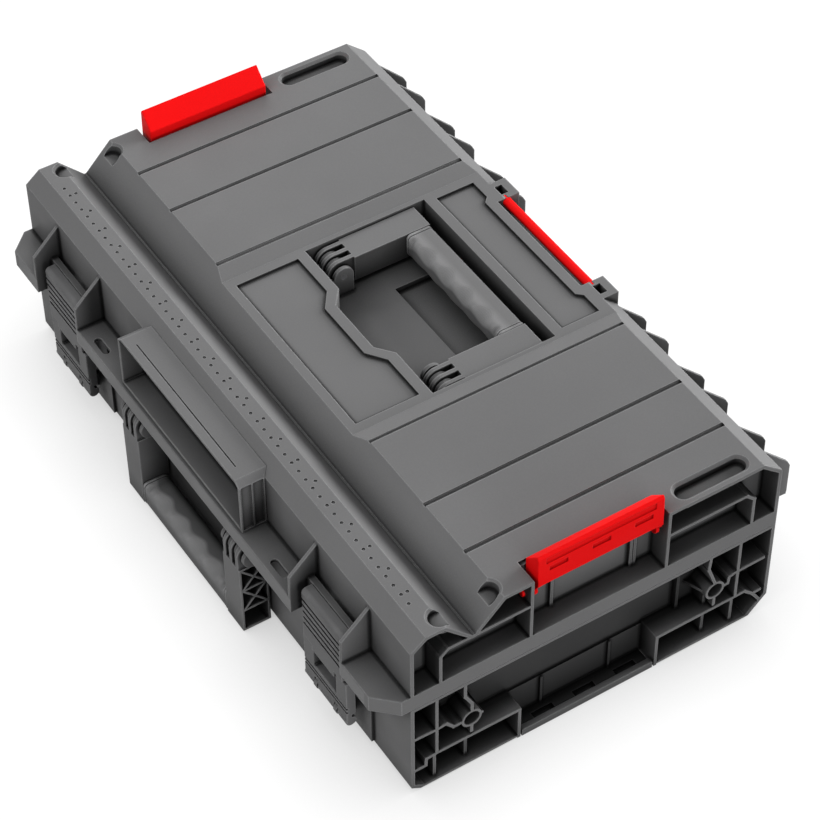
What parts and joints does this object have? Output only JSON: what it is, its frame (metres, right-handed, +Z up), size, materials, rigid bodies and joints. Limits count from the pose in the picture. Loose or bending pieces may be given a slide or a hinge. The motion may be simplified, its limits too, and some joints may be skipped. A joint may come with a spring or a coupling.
{
  "type": "hard tool case",
  "caption": "Wide moulded tool case with a hinged lid, levered front latches, folding handles on lid and front, red end latches for stacking and a red rear bar.",
  "frame": {"origin": "on the ground under the middle of the whole case, handles and hinge ears included", "axes": "+Z up, +X along the length of the case, -Y towards the front latches, +Y towards the hinges"},
  "size_m": [0.585, 0.3812, 0.195],
  "materials": {
    "body_plastic": "fine moulded satin",
    "latch_plastic": "satin",
    "handle_plastic": "satin",
    "grip_rubber": "matte soft grip",
    "seal_rubber": "matte",
    "pin_steel": "drawn",
    "red_plastic": "semi gloss"
  },
  "bodies": {
    "base": {"base_shell": "body_plastic", "hinge_pins": "pin_steel", "latch_frame_pin_left": "pin_steel", "latch_frame_pin_right": "pin_steel", "front_handle_pins": "pin_steel"},
    "lid": {"lid_shell": "body_plastic", "front_holder": "body_plastic", "lid_seal": "seal_rubber", "rear_bar": "red_plastic", "top_handle_pins": "pin_steel"},
    "latch_frame_left": {"latch_frame_left": "latch_plastic", "latch_lever_pin_left": "pin_steel"},
    "latch_frame_right": {"latch_frame_right": "latch_plastic", "latch_lever_pin_right": "pin_steel"},
    "latch_lever_left": {"latch_lever_left": "latch_plastic"},
    "latch_lever_right": {"latch_lever_right": "latch_plastic"},
    "front_handle": {"front_handle": "handle_plastic", "front_handle_grip": "grip_rubber"},
    "top_handle": {"top_handle": "handle_plastic", "top_handle_grip": "grip_rubber"},
    "end_latch_left": {"end_latch_left": "red_plastic"},
    "end_latch_right": {"end_latch_right": "red_plastic"}
  },
  "joints": [
    {"name": "lid_hinge", "type": "hinge", "parent": "base", "child": "lid", "pos_m": [0, 0.1801, 0.107], "axis": [-1, 0, 0], "range_deg": [0, 100]},
    {"name": "front_handle_hinge", "type": "hinge", "parent": "base", "child": "front_handle", "pos_m": [0, -0.1796, 0.0855], "axis": [-1, 0, 0], "range_deg": [0, 90]},
    {"name": "top_handle_hinge", "type": "hinge", "parent": "lid", "child": "top_handle", "pos_m": [0, 0.0012, 0.157], "axis": [1, 0, 0], "range_deg": [0, 100]},
    {"name": "latch_frame_left_hinge", "type": "hinge", "parent": "base", "child": "latch_frame_left", "pos_m": [-0.202, -0.1775, 0.0312], "axis": [1, 0, 0], "range_deg": [0, 50]},
    {"name": "latch_lever_left_hinge", "type": "hinge", "parent": "latch_frame_left", "child": "latch_lever_left", "pos_m": [-0.202, -0.1775, 0.072], "axis": [1, 0, 0], "range_deg": [0, 60]},
    {"name": "end_latch_left_hinge", "type": "hinge", "parent": "lid", "child": "end_latch_left", "pos_m": [-0.282, 0, 0.155], "axis": [0, -1, 0], "range_deg": [0, 40]},
    {"name": "latch_frame_right_hinge", "type": "hinge", "parent": "base", "child": "latch_frame_right", "pos_m": [0.202, -0.1775, 0.0312], "axis": [1, 0, 0], "range_deg": [0, 50]},
    {"name": "latch_lever_right_hinge", "type": "hinge", "parent": "latch_frame_right", "child": "latch_lever_right", "pos_m": [0.202, -0.1775, 0.072], "axis": [1, 0, 0], "range_deg": [0, 60]},
    {"name": "end_latch_right_hinge", "type": "hinge", "parent": "lid", "child": "end_latch_right", "pos_m": [0.282, 0, 0.155], "axis": [0, 1, 0], "range_deg": [0, 40]}
  ]
}
